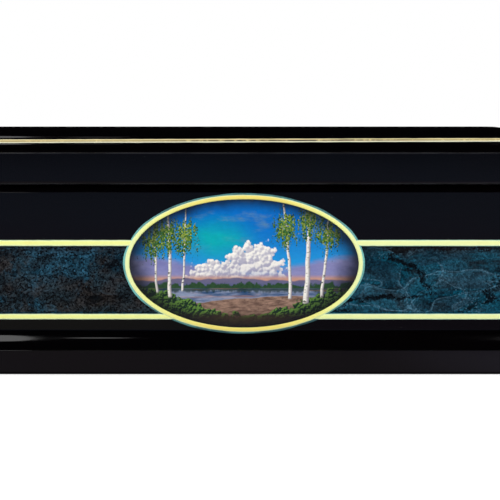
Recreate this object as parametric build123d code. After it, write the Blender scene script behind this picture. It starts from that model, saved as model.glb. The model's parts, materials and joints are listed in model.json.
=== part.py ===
from build123d import *
import math
import os

# A black lacquer casket with a hinged lid. Millimetres, +Z up, the origin in the middle of the underside,
# the front facing -Y and the hinges along the back.

# Walls
body_length = 185.6
body_depth = 115.6
wall = 8.0
wall_corner = 0.8

# Base moulding: a plinth with a ledge, and a cove that runs up from the ledge into the walls
plinth_height = 7.8
plinth_projection = 6.2
cove_radius = 9.1
cove_turn = 45.0
plinth_corner = 1.5
foot_arris = 0.4
arris = 0.25

# Floor
floor_thickness = 4.0
floor_recess = 0.8
floor_rebate = 5.0
floor_lining_thickness = 1.5
floor_lining_clearance = 0.2

# Inner lining, which stands above the seam as a lip for the lid
lining = 2.0
lip = 3.0
lip_round = 0.8

# Seam: the wall tops are bevelled outside, and the same angle on the back of the lid makes its stop
seam_height = 61.15
bevel_height = 2.45
bevel_angle = 50.0
bevel_round = 0.2

# Lid: an upright band with a ledge, a splay and a small cove up to the board
overhang = 1.5
lip_clearance = 0.4
band_height = 10.4
band_foot_round = 1.0
lid_step = 5.8
lid_rise = 3.4
lid_cove_radius = 1.85
gilt_line = 1.2
shoulder_height = 4.25
shoulder_run = 8.0
lid_corner = 1.5
board_corner = 1.0
lid_lining_thickness = 1.5
lid_lining_clearance = 0.2

# Inlays: a marbled band between two gilt strips, and an oval plaque that fills the height of the front
inlay_depth = 0.5
strip_rise = 3.25
lower_strip = 1.9
marble = 21.85
upper_strip = 2.05
strip_proud = 0.2
gilt_line_proud = 0.25
picture_length = 74.3
oval_top_gap = 0.1
oval_cove_overlap = 1.5
ring_width = 1.5
ring_proud = 0.4
ring_round = 0.25
edging_width = 0.65
edging_proud = 0.15
picture_proud = 0.05

# Hinges
hinge_inset = 38.8
hinge_length = 24.0
barrel_radius = 1.75
barrel_clearance = 0.25
pin_radius = 0.8
pin_clearance = 0.04
knuckle_gap = 0.15
leaf_thickness = 1.0
leaf_margin = 0.75
leaf_gap = 0.1

# Hinge screws
screw_spacing = 15.0
screw_radius = 0.7
screw_length = 6.0
head_radius = 1.3
head_height = 0.8
slot_width = 0.4
slot_depth = 0.3

# Worked out from the sizes above
half_length = body_length / 2
half_depth = body_depth / 2
cove_slope = math.tan(math.radians(cove_turn))
cove_top = plinth_height + cove_radius * math.sin(math.radians(cove_turn))
rebate_top = floor_recess + floor_thickness
lining_top = seam_height + lip
bevel_slope = math.tan(math.radians(bevel_angle))
bevel_run = bevel_height / bevel_slope
bevel_foot = seam_height - bevel_height
lower_strip_height = cove_top + strip_rise
marble_bottom = lower_strip_height + lower_strip
marble_top = marble_bottom + marble
inlay_top = marble_top + upper_strip
oval_top = bevel_foot - oval_top_gap
oval_bottom = cove_top - oval_cove_overlap
oval_height = (oval_top + oval_bottom) / 2
picture_height = oval_top - oval_bottom - 2 * (ring_width + edging_width)
lid_frame_width = overhang + wall - lip_clearance
band_top = seam_height + band_height
board_bottom = band_top + lid_rise
gilt_top = board_bottom + gilt_line
lid_top = gilt_top + shoulder_height
hinge_x = half_length - hinge_inset
hinge_y = half_depth - bevel_run
leaf_reach = wall - bevel_run - leaf_margin
leaf_start = barrel_radius + knuckle_gap
knuckle = (hinge_length - 2 * knuckle_gap) / 3
screw_y = hinge_y - (leaf_start + leaf_reach) / 2

SIDES = {"front": 0, "right": 90, "back": 180, "left": 270}
HINGES = {"left": -hinge_x, "right": hinge_x}
PARTS = {}


def block(x, y, z):
    """A box from its low and high values along each axis."""
    spans = (x, y, z)
    sizes = [high - low for low, high in spans]
    middles = [(low + high) / 2 for low, high in spans]
    return Pos(*middles) * Box(*sizes)


def slab(length, depth, z, corner=0.0):
    """A flat board centred on the origin, with its upright corners rounded."""
    outline = RectangleRounded(length, depth, corner) if corner else Rectangle(length, depth)
    return Pos(0, 0, z[0]) * extrude(outline, z[1] - z[0])


def rectangle_section(inset, z):
    """A plain section: inset is measured inwards from the face of the ring, z upwards."""
    low, high = inset
    bottom, top = z
    return make_face(Polyline((low, bottom), (high, bottom), (high, top), (low, top), close=True))


def rounded_section(section, corner, radius):
    """The section with one of its corners rounded."""
    nearest = section.vertices().sort_by_distance((*corner, 0))[0]
    return fillet(nearest, radius)


def mitred(section, side, grow):
    """One side of a mitred ring: its face lies grow outside the walls, and section is (inset, z)."""
    run, reach = half_length + grow, half_depth + grow
    if side in ("left", "right"):
        run, reach = reach, run
    across = Plane(origin=(0, -reach, 0), x_dir=(0, 1, 0), z_dir=(1, 0, 0))
    length = run + reach
    piece = extrude(across * section, length, both=True)
    for direction in (-1, 1):
        mitre = Plane(origin=(direction * run, -reach, 0), z_dir=(direction, 1, 0))
        piece = split(piece, mitre, Keep.BOTTOM)
    return Rot(0, 0, SIDES[side]) * piece


def ring(section, grow, corner, z):
    """The four mitred sides of a ring, with its outer corners rounded, as a dictionary of side to piece."""
    envelope = slab(2 * (half_length + grow), 2 * (half_depth + grow), z, corner)
    return {side: mitred(section, side, grow) & envelope for side in SIDES}


def oval(grow, start, end):
    """An upright oval plate on the front, grow larger all round than the picture, between two depths."""
    front = Plane(origin=(0, -half_depth - start, oval_height), x_dir=(1, 0, 0), z_dir=(0, -1, 0))
    outline = Ellipse(picture_length / 2 + grow, picture_height / 2 + grow)
    return extrude(front * outline, end - start)


def cove(inset, top, radius):
    """A hollow that starts upright at its top and turns outwards below."""
    return CenterArc((inset - radius, top), radius, -cove_turn, cove_turn)


def base_section():
    """The plinth with its ledge and cove, and a rebate underneath for the floor."""
    back = plinth_projection + wall
    foot = back - floor_rebate
    hollow = cove(plinth_projection, cove_top, cove_radius)
    rest = Polyline(
        (plinth_projection, cove_top),
        (back, cove_top),
        (back, rebate_top),
        (foot, rebate_top),
        (foot, 0),
        (0, 0),
        (0, plinth_height),
        hollow @ 0,
    )
    section = make_face([hollow, *rest.edges()])
    section = rounded_section(section, (0, plinth_height), arris)
    return rounded_section(section, (0, 0), foot_arris)


def wall_section():
    """A wall that stands on the base moulding, grooved for the inlays and bevelled at the seam."""
    outline = Polyline(
        (0, cove_top),
        (0, lower_strip_height),
        (inlay_depth, lower_strip_height),
        (inlay_depth, inlay_top),
        (0, inlay_top),
        (0, bevel_foot),
        (bevel_run, seam_height),
        (wall, seam_height),
        (wall, cove_top),
        close=True,
    )
    return rounded_section(make_face(outline), (0, bevel_foot), bevel_round)


def lining_section():
    """An upright lining board from the floor to the lip, rounded at the top."""
    section = rectangle_section((wall, wall + lining), (rebate_top, lining_top))
    return rounded_section(section, (wall, lining_top), lip_round)


def lid_section():
    """The lid's band with its ledge, and the splay and cove that rise from the ledge to the board."""
    hollow = cove(lid_step, board_bottom, lid_cove_radius)
    splay_top = hollow @ 0
    splay_foot = splay_top.X - (splay_top.Y - band_top) * cove_slope
    rest = Polyline(
        (lid_step, board_bottom),
        (lid_frame_width, board_bottom),
        (lid_frame_width, seam_height),
        (0, seam_height),
        (0, band_top),
        (splay_foot, band_top),
        splay_top,
    )
    section = make_face([hollow, *rest.edges()])
    section = rounded_section(section, (0, band_top), arris)
    return rounded_section(section, (0, seam_height), band_foot_round)


def stop_wedge():
    """What the bevel takes off the back of the lid, from the hinge line outwards."""
    run = bevel_run + overhang
    rise = run * bevel_slope
    spare = half_length + overhang + lid_frame_width
    side = Plane(origin=(0, hinge_y, seam_height), x_dir=(0, 1, 0), z_dir=(1, 0, 0))
    triangle = make_face(Polyline((0, 0), (2 * run, 0), (2 * run, 2 * rise), close=True))
    return extrude(side * triangle, spare, both=True)


def board_section(span):
    """The lid board across its span: an edge grooved for the gilt line, and a soft shoulder above."""
    edge = span / 2
    foot = edge - inlay_depth
    flat = edge - shoulder_run
    left = EllipticalCenterArc((-flat, gilt_top), shoulder_run, shoulder_height, 90, arc_size=90)
    right = EllipticalCenterArc((flat, gilt_top), shoulder_run, shoulder_height, 0, arc_size=90)
    top = Line((flat, lid_top), (-flat, lid_top))
    under = Polyline(
        (-edge, gilt_top),
        (-foot, gilt_top),
        (-foot, board_bottom),
        (foot, board_bottom),
        (foot, gilt_top),
        (edge, gilt_top),
    )
    return make_face([left, right, top, *under.edges()])


def top_board():
    """The lid's top: the same section both ways, so that its shoulders meet on a mitre."""
    length = 2 * (half_length + overhang - lid_step)
    depth = 2 * (half_depth + overhang - lid_step)
    lengthways = extrude(Plane.YZ * board_section(depth), length / 2, both=True)
    crossways = extrude(Plane.XZ * board_section(length), depth / 2, both=True)
    return lengthways & crossways & slab(length, depth, (board_bottom, lid_top), board_corner)


def rod(radius, x_start, x_end):
    """A round bar on the hinge line."""
    end = Plane(origin=(x_start, hinge_y, seam_height), z_dir=(1, 0, 0))
    return extrude(end * Circle(radius), x_end - x_start)


def leaf_height(upwards):
    """The low and high faces of a hinge leaf: the lid's leaf lies above the seam, the body's below."""
    near, far = leaf_gap, leaf_gap + leaf_thickness
    return (seam_height + near, seam_height + far) if upwards else (seam_height - far, seam_height - near)


def leaf_plate(middle, upwards):
    """The flat of a hinge leaf, clear of the other leaf's knuckles."""
    ends = (middle - hinge_length / 2, middle + hinge_length / 2)
    return block(ends, (hinge_y - leaf_reach, hinge_y - leaf_start), leaf_height(upwards))


def leaf_mortise(middle, upwards):
    """The seat that a leaf and the barrel take out of the wall or the lid."""
    ends = (middle - hinge_length / 2, middle + hinge_length / 2)
    low, high = leaf_height(upwards)
    seat = (seam_height, high) if upwards else (low, seam_height)
    barrel = rod(barrel_radius + barrel_clearance, ends[0] - barrel_clearance, ends[1] + barrel_clearance)
    return block(ends, (hinge_y - leaf_reach, hinge_y), seat) + barrel


def hinge_leaf(middle, upwards, knuckles, bore):
    """A leaf with its own knuckles, which are numbered from left to right."""
    leaf = leaf_plate(middle, upwards)
    for number in knuckles:
        start = middle - hinge_length / 2 + number * (knuckle + knuckle_gap)
        neck = block((start, start + knuckle), (hinge_y - leaf_start, hinge_y), leaf_height(upwards))
        leaf = leaf + neck + rod(barrel_radius, start, start + knuckle)
    return leaf - rod(bore, middle - hinge_length, middle + hinge_length)


def screw_blank():
    """A countersunk screw pointing down, with its head's face at the origin."""
    head = Pos(0, 0, -head_height / 2) * Cone(screw_radius, head_radius, head_height)
    shank = Pos(0, 0, -screw_length / 2) * Cylinder(screw_radius, screw_length)
    return head + shank


def screw_places(middle, upwards):
    """Where a leaf's screws go, with their heads in the leaf's open face."""
    low, high = leaf_height(upwards)
    face = low if upwards else high
    turn = Rot(180, 0, 0) if upwards else Rot(0, 0, 0)
    return [Pos(middle + shift, screw_y, face) * turn for shift in (-screw_spacing / 2, screw_spacing / 2)]


def make_base():
    """The plinth, the floor and its lining."""
    base = ring(base_section(), plinth_projection, plinth_corner, (0, cove_top))
    base["front"] = base["front"] - oval(ring_width + edging_width, -inlay_depth, plinth_projection)
    for side, piece in base.items():
        PARTS[f"base_moulding_{side}"] = piece
    rim = wall - floor_rebate
    PARTS["floor_panel"] = slab(body_length - 2 * rim, body_depth - 2 * rim, (floor_recess, rebate_top))
    inside = wall + lining + floor_lining_clearance
    floor_top = rebate_top + floor_lining_thickness
    PARTS["floor_lining"] = slab(body_length - 2 * inside, body_depth - 2 * inside, (rebate_top, floor_top))


def make_walls():
    """The four walls, seated for the plaque and the hinges, and the lining inside them."""
    walls = ring(wall_section(), 0, wall_corner, (cove_top, seam_height))
    walls["front"] = walls["front"] - oval(ring_width + edging_width, -inlay_depth, inlay_depth)
    for middle in HINGES.values():
        walls["back"] = walls["back"] - leaf_mortise(middle, False)
        for place in screw_places(middle, False):
            walls["back"] = walls["back"] - place * screw_blank()
    for side, piece in walls.items():
        PARTS[f"{side}_wall"] = piece
    for side in SIDES:
        PARTS[f"lining_{side}"] = mitred(lining_section(), side, 0)


def halves(piece):
    """The left and right solids that the plaque leaves of a front inlay."""
    left, right = piece.solids().sort_by(Axis.X)
    return {"front_left": left, "front_right": right}


def make_inlays():
    """The marbled band, the gilt strips above and below it, and the plaque in its ring and edging."""
    rows = {
        "marble_band": (marble_bottom, marble_top, 0.0),
        "lower_gilt_strip": (lower_strip_height, marble_bottom, strip_proud),
        "upper_gilt_strip": (marble_top, inlay_top, strip_proud),
    }
    seat = oval(ring_width + edging_width, -2 * inlay_depth, 2 * inlay_depth)
    for name, (bottom, top, proud) in rows.items():
        section = rectangle_section((0, proud + inlay_depth), (bottom, top))
        pieces = ring(section, proud, wall_corner + proud, (bottom, top))
        pieces.update(halves(pieces.pop("front") - seat))
        for side, piece in pieces.items():
            PARTS[f"{name}_{side}"] = piece
    outer_cut = oval(ring_width, -2 * inlay_depth, 2 * inlay_depth)
    inner_cut = oval(0, -2 * inlay_depth, 2 * inlay_depth)
    PARTS["oval_edging"] = oval(ring_width + edging_width, -inlay_depth, edging_proud) - outer_cut
    gilt = oval(ring_width, -inlay_depth, ring_proud) - inner_cut
    PARTS["oval_gilt_ring"] = fillet(gilt.faces().sort_by(Axis.Y)[0].edges(), ring_round)
    PARTS["oval_miniature"] = oval(0, -inlay_depth, picture_proud)


def make_lid():
    """The lid's mitred frame, its board with the gilt line, and the lining under it."""
    frame = ring(lid_section(), overhang, lid_corner, (seam_height, board_bottom))
    for side in ("back", "left", "right"):
        frame[side] = frame[side] - stop_wedge()
    for middle in HINGES.values():
        frame["back"] = frame["back"] - leaf_mortise(middle, True)
        for place in screw_places(middle, True):
            frame["back"] = frame["back"] - place * screw_blank()
    for side, piece in frame.items():
        PARTS[f"lid_frame_{side}"] = piece
    PARTS["lid_top_board"] = top_board()
    inside = lid_frame_width - overhang + lid_lining_clearance
    ceiling = board_bottom - lid_lining_thickness
    PARTS["lid_lining"] = slab(body_length - 2 * inside, body_depth - 2 * inside, (ceiling, board_bottom))
    section = rectangle_section((0, gilt_line_proud + inlay_depth), (board_bottom, gilt_top))
    grow = overhang - lid_step + gilt_line_proud
    lines = ring(section, grow, board_corner + gilt_line_proud, (board_bottom, gilt_top))
    for side, piece in lines.items():
        PARTS[f"lid_gilt_line_{side}"] = piece


def make_hinges():
    """Two butt hinges, their pins and their screws."""
    for name, middle in HINGES.items():
        body_leaf = hinge_leaf(middle, False, (0, 2), pin_radius)
        lid_leaf = hinge_leaf(middle, True, (1,), pin_radius + pin_clearance)
        for place in screw_places(middle, False):
            body_leaf = body_leaf - place * screw_blank()
        for place in screw_places(middle, True):
            lid_leaf = lid_leaf - place * screw_blank()
        PARTS[f"{name}_hinge_body_leaf"] = body_leaf
        PARTS[f"{name}_hinge_lid_leaf"] = lid_leaf
        PARTS[f"{name}_hinge_pin"] = rod(pin_radius, middle - hinge_length / 2, middle + hinge_length / 2)
    slot = Pos(0, 0, -slot_depth / 2) * Box(2 * head_radius, slot_width, slot_depth)
    screw = screw_blank() - slot
    for name, upwards in (("body", False), ("lid", True)):
        places = []
        for middle in HINGES.values():
            places += screw_places(middle, upwards)
        PARTS[f"{name}_leaf_screws"] = Compound(children=[place * screw for place in places])


make_base()
make_walls()
make_inlays()
make_lid()
make_hinges()

os.makedirs("parts", exist_ok=True)
for node, shape in PARTS.items():
    export_step(shape, f"parts/{node}.step")
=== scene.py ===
import json
import math
import random
from collections import namedtuple

import bmesh
import bpy
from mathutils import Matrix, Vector


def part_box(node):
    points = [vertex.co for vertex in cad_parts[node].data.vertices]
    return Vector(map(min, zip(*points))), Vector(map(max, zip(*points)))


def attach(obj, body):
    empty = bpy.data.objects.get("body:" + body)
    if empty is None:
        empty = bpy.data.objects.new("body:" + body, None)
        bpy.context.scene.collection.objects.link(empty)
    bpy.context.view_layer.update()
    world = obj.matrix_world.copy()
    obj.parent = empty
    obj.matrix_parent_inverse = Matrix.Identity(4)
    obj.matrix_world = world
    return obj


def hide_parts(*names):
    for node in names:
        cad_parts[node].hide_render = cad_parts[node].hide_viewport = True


bl_info = {
    "name": "Lacquer Casket",
    "version": (1, 0, 0),
    "blender": (4, 5, 0),
    "location": "3D View > Sidebar > Casket",
    "description": "Dresses a black casket in lacquer, marbled paint, gilding and a painted plaque",
    "category": "Object",
}

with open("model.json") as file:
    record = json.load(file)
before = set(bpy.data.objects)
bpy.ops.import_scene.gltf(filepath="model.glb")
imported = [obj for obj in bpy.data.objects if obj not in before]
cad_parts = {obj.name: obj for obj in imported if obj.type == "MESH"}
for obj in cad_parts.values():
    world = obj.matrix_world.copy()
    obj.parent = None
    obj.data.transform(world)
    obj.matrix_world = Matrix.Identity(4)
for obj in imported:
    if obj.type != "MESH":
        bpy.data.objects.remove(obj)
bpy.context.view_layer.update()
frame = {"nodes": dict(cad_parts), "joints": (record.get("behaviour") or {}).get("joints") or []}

MM = 0.001
SIDES = ("front", "right", "back", "left")
ENDS = ("left", "right")
STRETCHES = ("front_left", "front_right", "right", "back", "left")

# How finely the curved surfaces are divided
CORNER_STEPS = 8
ARRIS_STEPS = 6
COVE_STEPS = 20
CROWN_STEPS = 10
OVAL_STEPS = 240
PLAQUE_RINGS = 14
BEAD_STEP = 2.0 * MM

# How flat the top of a painted bead is, and the share of the lid's line that lies below its crest
CROWN_POWER = 6
LINE_CREST = 0.15

# Seeds of the brush wobble of each edge, and the number of its waves and their lengths in millimetres
STRIP_SEEDS = {"lower": (0, 1), "upper": (2, 3)}
RING_SEEDS = 11, 12
EDGING_SEED = 13
LINE_SEEDS = 21, 22
WAVES = 4
WAVE_SIZES = 5.0, 40.0

# Corners that lie deeper in a moulding than its rounding keep this small radius
TIGHT_CORNER = 0.3 * MM

# Edges sharper than this stay sharp, and flat faces outweigh the curves beside them
SHARP_ANGLE = math.radians(35)
FLAT_WEIGHT = 100

Box = namedtuple("Box", "low high")


def span(*nodes):
    """The box round some of the frame's nodes together."""
    boxes = [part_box(node) for node in nodes]
    low = [min(box[0][axis] for box in boxes) for axis in range(3)]
    high = [max(box[1][axis] for box in boxes) for axis in range(3)]
    return Box(Vector(low), Vector(high))


def nodes_of(pattern, places=SIDES):
    """The nodes of one kind, one for each place."""
    return [pattern.format(place) for place in places]


def level_of(box):
    """The middle height of a box and half of its height, in millimetres."""
    return (box.low.z + box.high.z) / 2 / MM, (box.high.z - box.low.z) / 2 / MM


BASE = span(*nodes_of("base_moulding_{}"))
WALLS = span(*nodes_of("{}_wall"))
LID = span(*nodes_of("lid_frame_{}"))
BOARD = span("lid_top_board")
FLOOR = span("floor_panel")
PICTURE = span("oval_miniature")
RING = span("oval_gilt_ring")
EDGING = span("oval_edging")
LOWER_STRIP = span(*nodes_of("lower_gilt_strip_{}", STRETCHES))
UPPER_STRIP = span(*nodes_of("upper_gilt_strip_{}", STRETCHES))
OVAL_MIDDLE = (PICTURE.low + PICTURE.high) / 2
HINGE_LINE = Vector(frame["joints"][0]["pos_m"])
WALL_THICKNESS = span("front_wall").high.y - WALLS.low.y
LID_FRAME_WIDTH = span("lid_frame_front").high.y - LID.low.y
INLAY_DEPTH = PICTURE.high.y - WALLS.low.y


def length(name, description, millimetres):
    """A length that a user may change, with its default in millimetres."""
    return bpy.props.FloatProperty(
        name=name, description=description, default=millimetres * MM, unit="LENGTH", precision=5
    )


def colour(name, description, default):
    """A colour that a user may change, in linear light."""
    return bpy.props.FloatVectorProperty(
        name=name, description=description, default=default, subtype="COLOR", size=3, min=0.0, max=1.0
    )


def angle(name, description, degrees):
    """An angle that a user may change, with its default in degrees."""
    return bpy.props.FloatProperty(
        name=name, description=description, default=math.radians(degrees), unit="ROTATION", subtype="ANGLE"
    )


def amount(name, description, default):
    """A plain number that a user may change."""
    return bpy.props.FloatProperty(name=name, description=description, default=default, min=0.0)


class CasketSizes(bpy.types.PropertyGroup):
    """Sizes of the dressed casket that its frame doesn't give."""

    arris: length("Arris", "Rounding of the upper edges of the plinth and the lid's band", 0.25)
    band_foot_round: length("Band rounding", "Rounding of the lower edge of the lid's band", 1.0)
    foot_arris: length("Foot arris", "Rounding of the plinth's lower edge", 0.4)
    cove_radius: length("Cove", "Radius of the cove above the plinth", 9.1)
    lid_cove_radius: length("Lid cove", "Radius of the small cove under the lid board", 1.85)
    cove_turn: angle("Cove turn", "How far the coves turn outwards from upright", 45)
    plinth_corner: length("Plinth corner", "Rounding of the plinth's upright corners", 1.5)
    wall_corner: length("Wall corner", "Rounding of the walls' upright corners", 0.8)
    bevel_round: length("Bevel rounding", "Rounding at the foot of the bevel under the lid", 0.2)
    bevel_angle: angle("Bevel angle", "Slope of the bevel on the wall tops and on the back of the lid", 50)
    band_height: length("Lid band", "Height of the upright band of the lid", 10.4)
    lid_corner: length("Lid corner", "Rounding of the lid's upright corners", 1.5)
    board_corner: length("Board corner", "Rounding of the lid board's corners at its edge", 1.0)
    shoulder_run: length("Shoulder", "Width of the soft shoulder round the lid board", 8.0)
    shoulder_corner: length("Shoulder corner", "Rounding of the shoulder's corners at the flat top", 3.0)
    leaf_seat: length("Leaf seat", "Depth of the seat of a hinge leaf below the seam", 1.1)
    barrel_room: length("Barrel room", "Room round the hinge barrels", 0.25)
    brush_wobble: length("Brush wobble", "How far a gilt line's edges stray", 0.05)
    line_drift: length("Line drift", "How far the lid's gilt line rises towards the right", 0.29)
    edging_wobble: length("Edging wobble", "How far the teal edging's outer edge strays", 0.16)
    picture_crown: length("Plaque crown", "Rise of the plaque towards its middle", 0.12)


class CasketColours(bpy.types.PropertyGroup):
    """Colours of the casket's finishes."""

    lacquer: colour("Lacquer", "Black lacquer", (0.0002, 0.0005, 0.0010))
    lacquer_warm: colour("Warm lacquer", "Browner places in the black lacquer", (0.0012, 0.0005, 0.0006))
    # A lighter colour painted along the lid band's long edges as the highlights of their roundings
    rubbed: colour("Rubbed lacquer", "Thin lacquer on the long edges of the lid", (0.017, 0.017, 0.020))
    dust: colour("Dust", "Specks under the lacquer", (0.03, 0.03, 0.03))
    red: colour("Red", "Red lacquer inside", (0.36, 0.012, 0.008))
    red_dark: colour("Dark red", "Where the red lacquer is thicker", (0.17, 0.004, 0.004))
    marble_dark: colour("Marble ground", "Darkest tone of the marbling", (0.0008, 0.0018, 0.0026))
    marble_navy: colour("Marble navy", "Main tone of the marbling", (0.0036, 0.027, 0.047))
    marble_teal: colour("Marble teal", "Blue-green veils in the marbling", (0.0026, 0.067, 0.111))
    marble_blue: colour("Marble blue", "Brightest mottle in the marbling", (0.0150, 0.066, 0.112))
    marble_brown: colour("Marble brown", "Brown mottle in the marbling", (0.0170, 0.0145, 0.0135))
    marble_slate: colour("Marble slate", "Grey mottle in the marbling", (0.0090, 0.0150, 0.0190))
    marble_vein: colour("Marble vein", "Pale veins in the marbling", (0.11, 0.25, 0.36))
    gilt: colour("Gilt", "Lemon gold of the strips and the ring", (0.95, 0.98, 0.29))
    gilt_pale: colour("Pale gilt", "Paler gold at the edges of a stroke", (0.85, 0.99, 0.60))
    gilt_rich: colour("Rich gilt", "Where the gold lies thick", (0.96, 0.79, 0.17))
    leaf: colour("Gold leaf", "Beige gold of the lid's line", (0.78, 0.62, 0.26))
    # Colour of the painted highlight along the lid's gilt line
    leaf_pale: colour("Pale leaf", "Brightest part of the lid's line", (1.00, 0.99, 0.72))
    leaf_brown: colour("Size", "Brown size that shows through the leaf", (0.065, 0.045, 0.018))
    teal: colour("Teal", "Edging of the plaque", (0.035, 0.11, 0.12))
    teal_pale: colour("Pale teal", "Thin places of the edging", (0.20, 0.60, 0.58))
    brass: colour("Brass", "Hinges", (0.76, 0.53, 0.22))
    brass_dark: colour("Dull brass", "Tarnish on the hinges and screws", (0.30, 0.17, 0.06))
    steel: colour("Steel", "Hinge pins", (0.56, 0.56, 0.55))
    steel_dark: colour("Dull steel", "Rubbed rings on the hinge pins", (0.36, 0.35, 0.34))
    board: colour("Board", "Stained board of the floor", (0.055, 0.030, 0.017))
    board_dark: colour("Board grain", "Dark grain of the floor board", (0.016, 0.009, 0.006))


class CasketStudio(bpy.types.PropertyGroup):
    """The floor, the lamps and the camera."""

    lens: bpy.props.FloatProperty(
        name="Lens", description="Focal length of the camera", default=266.7, unit="CAMERA"
    )
    eye_distance: length("Distance", "From the camera to the front wall", 1200.0)
    eye_height: length("Eye height", "Height of the camera", 40.0)
    eye_shift: length("Eye shift", "How far the camera stands right of the middle", 1.93)
    ambient: amount("Ambient", "Soft light from all round", 0.68)
    mirrored_sky: colour("Mirrored sky", "What gloss shows just above eye level", (0.120, 0.152, 0.226))
    mirrored_haze: colour("Mirrored haze", "What gloss shows just below eye level", (0.13, 0.10, 0.155))
    mirrored_dark: amount("Mirrored dark", "Brightness of the room that gloss shows elsewhere", 0.003)
    near_left: colour("Near floor, left", "What gloss shows of the floor close by", (0.175, 0.150, 0.172))
    near_right: colour("Near floor, right", "The same towards the right", (0.285, 0.260, 0.335))
    far_left: colour("Far floor, left", "What gloss shows of the floor further off", (0.165, 0.160, 0.145))
    far_right: colour("Far floor, right", "The same towards the right", (0.080, 0.070, 0.100))
    floor_lift: amount("Floor lift", "Glow that makes the floor as white as the room", 0.45)
    floor_colour: colour("Floor", "Pale floor", (0.88, 0.88, 0.88))
    softbox_radiance: amount("Softboxes", "Brightness of the softboxes in front", 3.3)
    strip_radiance: amount("Strips", "Brightness of the narrow softboxes in front", 2.4)
    back_radiance: amount("Back softboxes", "Brightness of the softboxes behind", 1.6)
    glint_radiance: amount("Glint", "Brightness of the small lamp between the strips", 1.6)


def arc(centre, radii, start, end, steps):
    """Points on a stretch of an ellipse, with its angles in degrees."""
    turns = [math.radians(start + (end - start) * step / steps) for step in range(steps + 1)]
    return [(centre[0] + radii[0] * math.cos(turn), centre[1] + radii[1] * math.sin(turn)) for turn in turns]


def soften(corners):
    """A closed outline whose corners (inset, height, radius) are each rounded to their radius."""
    outline = []
    for index, (inset, height, radius) in enumerate(corners):
        if not radius:
            outline.append((inset, height))
            continue
        here = Vector((inset, height))
        before = (Vector(corners[index - 1][:2]) - here).normalized()
        after = (Vector(corners[(index + 1) % len(corners)][:2]) - here).normalized()
        half_turn = before.angle(after) / 2
        centre = here + (before + after).normalized() * (radius / math.sin(half_turn))
        reach = radius / math.tan(half_turn)
        start = (here + before * reach - centre).normalized()
        end = (here + after * reach - centre).normalized()
        for step in range(ARRIS_STEPS + 1):
            outline.append(tuple(centre + start.slerp(end, step / ARRIS_STEPS) * radius))
    return outline


def cove(inset, top, radius, turn):
    """A hollow that starts upright at its top and turns outwards below, from its foot up."""
    return arc((inset - radius, top), (radius, radius), -math.degrees(turn), 0, COVE_STEPS)


def plain(points):
    """Points of a curved stretch as corners that need no rounding."""
    return [(inset, height, 0.0) for inset, height in points]


def round_rectangle(half_x, half_y, radius, height):
    """Points round a level rectangle with rounded corners."""
    points = []
    for quarter, (side_x, side_y) in enumerate(((1, 1), (-1, 1), (-1, -1), (1, -1))):
        centre = side_x * (half_x - radius), side_y * (half_y - radius)
        turn = 90 * quarter
        for x, y in arc(centre, (radius, radius), turn, turn + 90, CORNER_STEPS):
            points.append(Vector((x, y, height)))
    return points


def moulding(outline, box, corner):
    """Rings of a moulding that runs round a box: the points of its outline are (inset, height)."""
    rings = []
    for inset, height in outline:
        radius = max(corner - inset, TIGHT_CORNER)
        rings.append(round_rectangle(box.high.x - inset, box.high.y - inset, radius, height))
    return rings


def oval(half_x, half_z, y):
    """Points round an upright ellipse about the middle of the plaque."""
    points = arc((OVAL_MIDDLE.x, OVAL_MIDDLE.z), (half_x, half_z), 0, 360, OVAL_STEPS)
    return [Vector((x, y, z)) for x, z in points[:-1]]


def add_object(name, data):
    """A new object in the scene."""
    made = bpy.data.objects.new(name, data)
    bpy.context.scene.collection.objects.link(made)
    return made


def make_piece(name, rings, closed):
    """A solid skinned over a row of rings, closed on itself or capped at both ends."""
    count = len(rings[0])
    rows = len(rings) if closed else len(rings) - 1
    faces = []
    for row in range(rows):
        here, there = row * count, (row + 1) % len(rings) * count
        for point in range(count):
            beside = (point + 1) % count
            faces.append((here + point, here + beside, there + beside, there + point))
    if not closed:
        faces += [range(count), range(rows * count, (rows + 1) * count)]
    mesh = bpy.data.meshes.new(name)
    mesh.from_pydata([point for ring in rings for point in ring], [], faces)
    surface = bmesh.new()
    surface.from_mesh(mesh)
    bmesh.ops.recalc_face_normals(surface, faces=surface.faces)
    surface.to_mesh(mesh)
    surface.free()
    return add_object(name, mesh)


def prism(outline, along):
    """A straight cutter with the same outline all along."""
    return make_piece("cutter", [outline, [point + along for point in outline]], closed=False)


def carve(piece, cutters):
    """Takes the cutters out of a piece."""
    for cutter in cutters:
        seat = piece.modifiers.new("seat", "BOOLEAN")
        seat.operation = "DIFFERENCE"
        seat.solver = "EXACT"
        seat.object = cutter
    depsgraph = bpy.context.evaluated_depsgraph_get()
    carved = bpy.data.meshes.new_from_object(piece.evaluated_get(depsgraph))
    piece.modifiers.clear()
    piece.data = carved
    for cutter in cutters:
        bpy.data.objects.remove(cutter)
    if not carved.polygons:
        raise RuntimeError(f"{piece.name} is empty after its seats were cut")


def dress(piece, slot, body, nodes, coat=None):
    """Finishes a piece, smooths its curves and puts it in the place of its nodes."""
    piece.data.shade_smooth()
    piece.data.set_sharp_from_angle(angle=SHARP_ANGLE)
    flats = piece.modifiers.new("flat_faces_stay_flat", "WEIGHTED_NORMAL")
    flats.keep_sharp = True
    flats.weight = FLAT_WEIGHT
    piece.data.materials.clear()
    piece.data.materials.append(finish(coat or slot))
    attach(piece, body)
    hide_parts(*nodes)


def refinish(nodes, slot):
    """Gives nodes of the frame their finish."""
    for node in nodes:
        materials = frame["nodes"][node].data.materials
        materials.clear()
        materials.append(finish(slot))


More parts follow.
